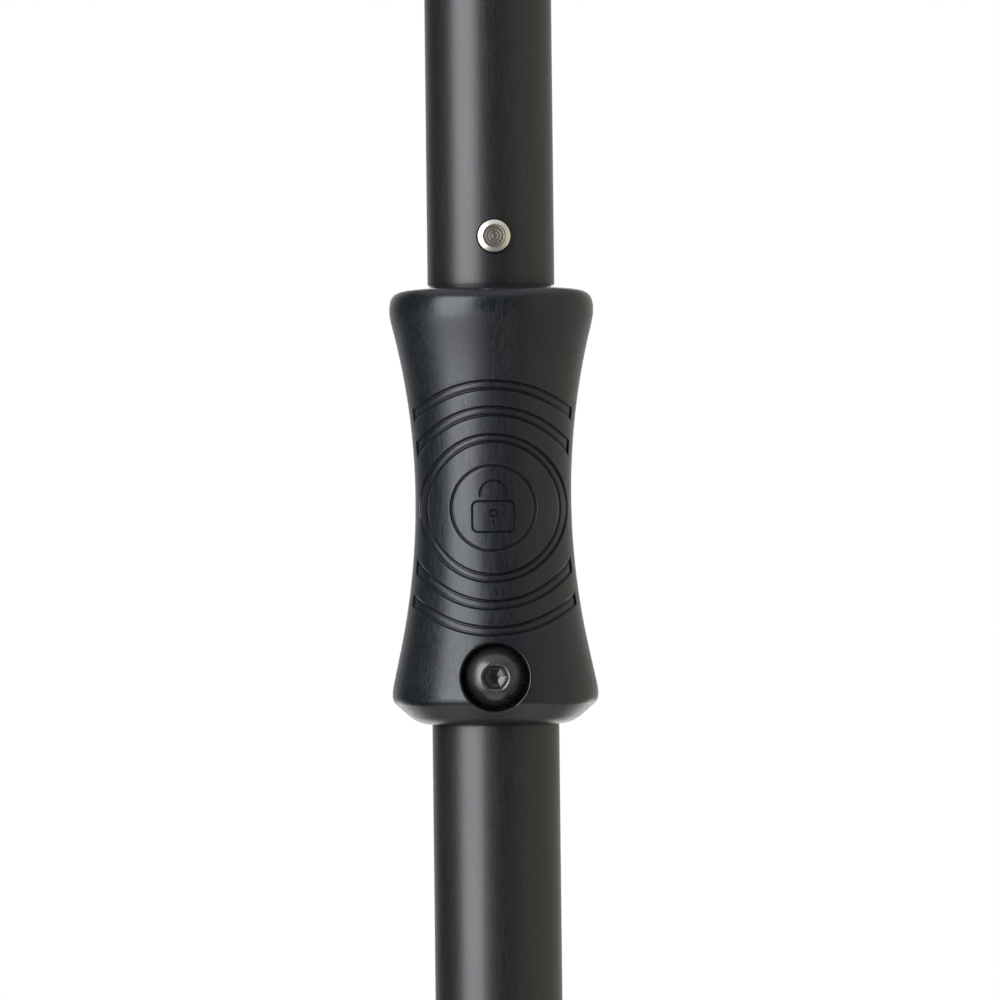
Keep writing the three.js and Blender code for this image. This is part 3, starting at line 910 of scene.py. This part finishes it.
def bore_rings(skin):
    """The collar's inside from its mouth down to its lower rim, as closed rings of points."""
    rim = collar_rows()[0]
    steps = [(COLLAR_MOUTH, COLLAR_CAM_TOP), (None, COLLAR_CAM_TOP), (None, COLLAR_SHOULDER)]
    steps += [(COLLAR_BORE, COLLAR_SHOULDER), (COLLAR_BORE, 60), (COLLAR_BORE, 26)]
    steps += [(COLLAR_BORE, 25 - i) for i in range(24)]
    rings = []
    for radius, height in [*steps, (COLLAR_BORE, rim + 0.3)]:
        points = []
        for column in range(COLLAR_SIDES):
            angle = 2 * math.pi * column / COLLAR_SIDES
            reach = radius or CAM_MEAN - CAM_LIFT * math.cos(2 * angle + math.pi)
            points.append(collar_point(reach, column, height))
        rings.append(skin.add(points))
    return rings


def collar_grip():
    """The hourglass collar: its rows of points with the front and back filled apart."""
    skin = Skin()
    rows = collar_rows()
    first = next(i for i, height in enumerate(rows) if height > PATCH_FOOT)
    last = next(i for i, height in enumerate(rows) if height > PATCH_TOP)
    grid = []
    for height in rows:
        radius = collar_radius(height)
        grid.append(skin.add([collar_point(radius, column, height) for column in range(COLLAR_SIDES)]))
    half = COLLAR_SIDES // 2
    patched = {column % COLLAR_SIDES for column in range(-PATCH_REACH, PATCH_REACH)}
    patched |= {(column + half) % COLLAR_SIDES for column in range(-PATCH_REACH, PATCH_REACH)}
    for row in range(len(rows) - 1):
        for column in range(COLLAR_SIDES):
            if first <= row < last and column in patched:
                continue
            after = (column + 1) % COLLAR_SIDES
            lower, upper = grid[row], grid[row + 1]
            skin.faces.append((lower[column], lower[after], upper[after], upper[column]))
    hole = pattern_patch(skin, grid, rows, first, last, 1)
    pattern_patch(skin, grid, rows, first, last, -1)
    rings = [grid[-1], *bore_rings(skin), grid[0]]
    for upper, lower in zip(rings, rings[1:]):
        skin.strip(upper, lower)
    bottom = skin.add([(0, -SCREW_SEAT, COLLAR_FOOT + SCREW_HEIGHT)])[0]
    skin.fan(hole[0], bottom)
    return skin.mesh("collar_grip_moulded")


# ---------------------------------------------------------------- screw and pin


def stop_screw():
    """Button head screw with a hexagon socket and a dog point; its seat is at zero on its own axis."""
    seat = SCREW_SEAT + SCREW_GAP
    thread_end = TUBE_OUTER + 0.3 - seat
    point_end = TUBE_INNER + 0.1 - seat
    outline = [(0, point_end), (SCREW_POINT, point_end), (SCREW_POINT, thread_end)]
    outline += [(SCREW_THREAD, thread_end), (SCREW_THREAD, 0), (SCREW_HEAD, 0), (SCREW_HEAD, 0.8)]
    outline = rounded(outline, 0.25)[:-1]
    for step in range(17):
        radius = SCREW_HEAD + (SOCKET_MOUTH + 0.12 - SCREW_HEAD) * step / 16
        outline.append((radius, DOME_CENTRE + math.sqrt(DOME_RADIUS**2 - radius**2)))
    top = outline[-1][1] - 0.03
    outline.append((SOCKET_MOUTH, top))
    skin = Skin()
    angles = [2 * math.pi * i / SCREW_SIDES for i in range(SCREW_SIDES)]
    tip = skin.add([(0, 0, point_end)])[0]
    levels = [[(radius, height)] * SCREW_SIDES for radius, height in outline[1:]]
    edge = [SOCKET_FLATS / 2 / math.cos(a % (math.pi / 3) - math.pi / 6) for a in angles]
    levels += [
        [(r, top - (SOCKET_MOUTH - r) * SOCKET_SLOPE) for r in edge],
        [(r - 0.05, top - (SOCKET_MOUTH - r) * SOCKET_SLOPE - 0.08) for r in edge],
        [(r - 0.05, top - 3.3) for r in edge],
        [(r - 0.2, top - 3.42) for r in edge],  # the socket's foot
    ]
    rings = []
    for level in levels:
        rings.append(skin.add([(r * math.cos(a), r * math.sin(a), z) for a, (r, z) in zip(angles, level)]))
    skin.fan(rings[0], tip)
    for first, second in zip(rings, rings[1:]):
        skin.strip(first, second)
    skin.fan(rings[-1], skin.add([(0, 0, top - 4.9)])[0])
    placed = facing_front(SCREW_HEIGHT) @ Matrix.Translation((0, 0, seat))
    return skin.mesh("stop_screw_button_head", placed, sharp=30)


def snap_pin():
    """Snap pin with a flange inside the tube, a chamfered tip and fine turning rings on its end."""
    flat = PIN_RADIUS - PIN_CHAMFER
    outline = [(0, PIN_FLANGE_FOOT), (PIN_FLANGE, PIN_FLANGE_FOOT), (PIN_FLANGE, PIN_FLANGE_TOP)]
    outline += [(PIN_RADIUS, PIN_FLANGE_TOP), (PIN_RADIUS, PIN_REACH - PIN_CHAMFER_DEPTH)]
    outline += [(flat, PIN_REACH), (flat - 0.3, PIN_REACH)]
    outline = rounded(outline, 0.22)[:-1]
    for ring in range(int((flat - 0.3) / PIN_PITCH)):
        outline.append((flat - 0.3 - ring * PIN_PITCH, PIN_REACH - PIN_DIPS[ring % len(PIN_DIPS)]))
    outline.append((0, PIN_REACH - 0.045))
    return turned("snap_pin_plated", outline, 96, facing_front(PIN_HEIGHT, PIN_TURN), closed=False)


# ---------------------------------------------------------------- tubes and inner pieces


def drilled(tube, radius, start, end, placed, sides=48):
    """The tube less a round hole of that radius along the placed Z axis."""
    outline = [(0, start), (radius, start), (radius, end), (0, end)]
    return cut(tube, turned("drill", outline, sides, placed, closed=False))


def pin_drilled(tube):
    """The tube less the hole in its front wall that the snap pin passes through."""
    return drilled(tube, PIN_HOLE, 5, 25, facing_front(PIN_HEIGHT, PIN_TURN), sides=96)


def drilled_across(tube, node, turn=0.0):
    """The tube less a hole through both its walls, at the height of a node of the frame."""
    height = sum(span(node)) / 2
    across = Matrix.Rotation(turn, 4, "Z") @ Matrix.Rotation(math.pi / 2, 4, "Y")
    return drilled(tube, CROSS_HOLE, -25, 25, Matrix.Translation((0, 0, height)) @ across)


def plain_tube(name, node, inner, outer, edge=0.25):
    """Plain tube or ring as long as its node of the frame."""
    return turned(name, tube_outline(inner, outer, *span(node), edge))


def upper_tube():
    return pin_drilled(plain_tube("upper_tube_anodised", "upper_tube", TUBE_INNER, TUBE_OUTER))


def mast_tube():
    tube = pin_drilled(plain_tube("mast_tube_anodised", "mast_tube", MAST_INNER, MAST_OUTER))
    return drilled_across(tube, "mast_foot_pin", PIN_TURN)


def lower_tube():
    """The lower tube with the slot that the stop screw's point runs in."""
    level = COLLAR_FOOT + SCREW_HEIGHT
    corners = [(TUBE_INNER - 1, level - SLOT_HALF), (TUBE_INNER - 1, level + SLOT_HALF)]
    corners += [(TUBE_OUTER + 1, level + SLOT_HALF), (TUBE_OUTER + 1, level - SLOT_HALF)]
    start = math.asin(SLOT_HALF / TUBE_INNER)
    steps = 40
    skin = Skin()
    loops = []
    for i in range(steps + 1):
        angle = (COLLAR_TURN + 2 * start) * i / steps - start
        loops.append(skin.add([(r * math.sin(angle), -r * math.cos(angle), z) for r, z in corners]))
    for first, second in zip(loops, loops[1:]):
        skin.strip(first, second)
    skin.faces += [tuple(loops[0]), tuple(loops[-1])]
    tube = plain_tube("lower_tube_anodised", "lower_tube", TUBE_INNER, TUBE_OUTER)
    return drilled_across(cut(tube, skin.mesh("slot_cutter")), "housing_rivet_left")


def end_plug(name, node, up):
    """Cup-shaped plug of a tube's end: up is 1 at the foot and -1 at the top."""
    face = span(node)[0 if up == 1 else 1]
    stem, cup = TUBE_INNER - 0.3, TUBE_INNER - 3.5
    corners = [(0, 0.6), (10.5, 0.6), (11.1, 0), (TUBE_OUTER - 0.8, 0), (TUBE_OUTER, 0.8), (TUBE_OUTER, 3)]
    corners += [(stem, 3), (stem, 24.2), (stem - 0.8, 25), (cup, 25), (cup, 6), (0, 6)]
    outline = [(radius, face + up * height) for radius, height in rounded(corners, 0.35)]
    return turned(name, outline, closed=False)


def guide_bush():
    bottom, top = span("guide_bush")
    inner, spigot, flange = MAST_OUTER + 0.15, MAST_OUTER + 1.45, top - 1.4
    corners = [(inner, bottom), (spigot, bottom), (spigot, flange), (TUBE_OUTER, flange)]
    corners += [(TUBE_OUTER, top), (inner, top)]
    return turned("guide_bush_turned", rounded(corners, 0.3, closed=True))


def mast_foot():
    bottom, top = span("mast_foot")
    rim, plug = TUBE_INNER - 0.2, MAST_INNER - 0.3
    corners = [(0, bottom), (rim - 0.8, bottom), (rim, bottom + 0.8), (rim, bottom + 6), (plug, bottom + 6)]
    corners += [(plug, top - 0.8), (plug - 0.8, top), (0, top)]
    return turned("mast_foot_turned", rounded(corners, 0.25), closed=False)


def load_plug():
    bottom, top = span("load_plug")
    spigot, shoulder = MAST_INNER - 0.3, TUBE_INNER - 0.2
    corners = [(6, bottom), (spigot, bottom), (spigot, bottom + 14.3), (shoulder, bottom + 14.3)]
    corners += [(shoulder, top), (6, top)]
    return turned("load_plug_turned", rounded(corners, 0.4, closed=True))


def leaf_spring():
    """Folded leaf spring inside the mast: one leg behind the snap pin, one on the mast's far wall."""
    route = [(-LEAF_FRONT, -6), (-LEAF_FRONT, -2), (-LEAF_FRONT, 2)]
    route += curve(route[-1], (-LEAF_FRONT, 12), (-5.8, 22), 10)
    route.append((-3.4, 31.5))
    route += curve(route[-1], (-2, 38), (0.5, 38), 8)  # bend
    route += curve(route[-1], (3.1, 38), (4.6, 31.5), 8)
    route += [(7.4, 20), (LEAF_BACK, -2)]
    side, flat = LEAF_HALF - 0.12, LEAF_THIN - 0.12
    section = [(LEAF_HALF, flat), (side, LEAF_THIN), (-side, LEAF_THIN), (-LEAF_HALF, flat)]
    section += [(-x, -off) for x, off in section]
    skin = Skin()
    loops = []
    for i, (y, z) in enumerate(route):
        before, after = Vector(route[max(i - 1, 0)]), Vector(route[min(i + 1, len(route) - 1)])
        along = (after - before).normalized()
        loops.append(skin.add([(x, y - along.y * off, z + along.x * off) for x, off in section]))
    for first, second in zip(loops, loops[1:]):
        skin.strip(first, second)
    skin.faces += [tuple(loops[0]), tuple(loops[-1])]
    turn = Matrix.Rotation(PIN_TURN, 4, "Z")
    return skin.mesh("leaf_spring_folded", Matrix.Translation((0, 0, COLLAR_FOOT + PIN_HEIGHT)) @ turn)


piece(collar_grip(), MOULDING, "collar", "black_moulding", "collar_grip")
piece(stop_screw(), BLACKENED, "collar", "blackened_steel", "stop_screw")
piece(snap_pin(), NICKEL, "pin", "bright_nickel", "snap_pin")
piece(upper_tube(), ANODISED, "mast", "black_anodised", "upper_tube")
piece(mast_tube(), ANODISED, "mast", "black_anodised", "mast_tube")
piece(lower_tube(), ANODISED, "lower", "black_anodised", "lower_tube")
piece(end_plug("foot_plug_moulded", "foot_plug", 1), END_MOULDING, "lower", "black_moulding", "foot_plug")
piece(end_plug("top_cap_moulded", "top_cap", -1), END_MOULDING, "mast", "black_moulding", "top_cap")
piece(guide_bush(), BLACK_ACETAL, "lower", "black_acetal", "guide_bush")
piece(mast_foot(), BLACK_ACETAL, "mast", "black_acetal", "mast_foot")
piece(load_plug(), BLACK_ACETAL, "mast", "black_acetal", "load_plug")

leaf = piece(leaf_spring(), SPRING, None, "spring_steel", "leaf_spring")
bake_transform(leaf)

INNER_RINGS = (
    # node, inner and outer radius, material, body, slot
    ("foot_bumper", 5, 15.4, RUBBER, "lower", "buffer_rubber"),
    ("wear_washer", 17.85, 19.0, PALE_ACETAL, "lower", "pale_acetal"),
    ("stop_sleeve", 15.15, 15.8, PALE_ACETAL, "slider", "pale_acetal"),
    ("upper_spacer", 15.15, 15.85, PALE_ACETAL, "mast", "pale_acetal"),
)
for node, inner, outer, material, body, slot in INNER_RINGS:
    ring = plain_tube(f"{node}_turned", node, inner, outer, edge=0.2)
    piece(ring, material, body, slot, node)

CARRIED_OVER = {
    "lock_housing": ZINC,
    "housing_rivet_left": SPRING,
    "housing_rivet_right": SPRING,
    "clamp_shoe_left": BLACK_ACETAL,
    "clamp_shoe_right": BLACK_ACETAL,
    "collar_bearing": BLACK_ACETAL,
    "threaded_insert": BRASS,
    "mast_foot_pin": SPRING,
    "lower_spacer": PALE_ACETAL,
}
for node, material in CARRIED_OVER.items():
    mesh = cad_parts[node].data
    mesh.materials.clear()
    mesh.materials.append(material)

# ---------------------------------------------------------------- studio


def floor():
    """Plain round floor that the pole stands on."""
    skin = Skin()
    skin.faces.append(tuple(skin.add([(x, y, -FLOOR_DROP) for x, y in circle(FLOOR_RADIUS, 96, 0)])))
    mesh = skin.mesh("studio_floor")
    mesh.materials.append(floor_paint())
    made = bpy.data.objects.new("studio_floor", mesh)
    made.visible_glossy = False
    bpy.context.scene.collection.objects.link(made)


def from_collar(azimuth, elevation, distance):
    """Point at a distance from the collar; azimuth 0 is the front and 90 is +X, in degrees."""
    a, e = math.radians(azimuth), math.radians(elevation)
    reach = distance * math.cos(e)
    middle = COLLAR_FOOT + CAMERA_HEIGHT
    return Vector((reach * math.sin(a), -reach * math.cos(a), middle + distance * math.sin(e))) * MM


def soft_light(name, azimuth, elevation, distance, size, power, colour):
    """Rectangular soft light of that width and height that faces the collar."""
    light = bpy.data.lights.new(name, "AREA")
    light.shape, light.size, light.size_y = "RECTANGLE", size[0] * MM, size[1] * MM
    light.energy, light.color = power, colour
    made = bpy.data.objects.new(name, light)
    made.location = from_collar(azimuth, elevation, distance)
    aim = made.location - from_collar(0, 0, 0)
    made.rotation_mode = "QUATERNION"
    made.rotation_quaternion = aim.to_track_quat("Z", "Y")
    made.visible_camera = False
    bpy.context.scene.collection.objects.link(made)


def surroundings():
    """White surroundings; a gloss surface mirrors a dark room with a bright back and a lit floor instead."""
    world = bpy.data.worlds.new("studio")
    bpy.context.scene.world = world
    world.use_nodes = True
    tree = NodeTree(world.node_tree)
    x, y, z = tree.parts(tree.node("ShaderNodeTexCoord", output="Generated"))
    towards_key = x * math.sin(math.radians(KEY_AZIMUTH)) - y * math.cos(math.radians(KEY_AZIMUTH))
    down = z * -1
    walls = tree.mixed(x.ramp(0.15, 1.0), (0.03, 0.038, 0.052), (0.62, 0.6, 0.52))
    parts = (
        (y.ramp(0.55, 1.0), (0.75, 0.75, 0.72)),  # bright back
        (z.ramp(0.55, 0.9), (0.75, 0.76, 0.78)),  # ceiling
        (down.ramp(0.65, 0.95), (0.9, 0.87, 0.81)),  # ground
        (towards_key.ramp(0.66, 0.95) * down.ramp(0.12, 0.35), (2.9, 3.0, 3.1)),  # ground under the key light
        (y.ramp(0.6, 0.95) * down.ramp(0.12, 0.3), (2.4, 2.4, 2.3)),  # ground under the back light
    )
    for amount, colour in parts:
        walls = tree.mixed(amount, walls, colour)
    mirrored = tree.node("ShaderNodeLightPath", output="Is Glossy Ray")
    seen = tree.mixed(mirrored, (1, 1, 1), walls)
    sky = tree.node("ShaderNodeBackground", {}, {"Color": seen})
    tree.node("ShaderNodeOutputWorld", {}, {"Surface": sky})


def camera():
    """Level camera in front of the collar, turned a little about its own axis."""
    data = bpy.data.cameras.new("camera")
    data.lens = data.sensor_width * CAMERA_DISTANCE / VIEW_SIZE
    data.clip_end = 100
    made = bpy.data.objects.new("camera", data)
    made.location = Vector((CAMERA_SIDE, -CAMERA_DISTANCE, COLLAR_FOOT + CAMERA_HEIGHT)) * MM
    made.rotation_euler = (math.pi / 2, CAMERA_ROLL, 0)
    bpy.context.scene.collection.objects.link(made)
    bpy.context.scene.camera = made


floor()
surroundings()
soft_light("key_light", KEY_AZIMUTH, 14, 1500, size=(1200, 1700), power=37, colour=(0.94, 0.97, 1))
soft_light("back_light", 180, 12, 1800, size=(700, 1300), power=8, colour=(1, 0.99, 0.97))
camera()
bpy.context.scene.view_settings.view_transform = "Standard"
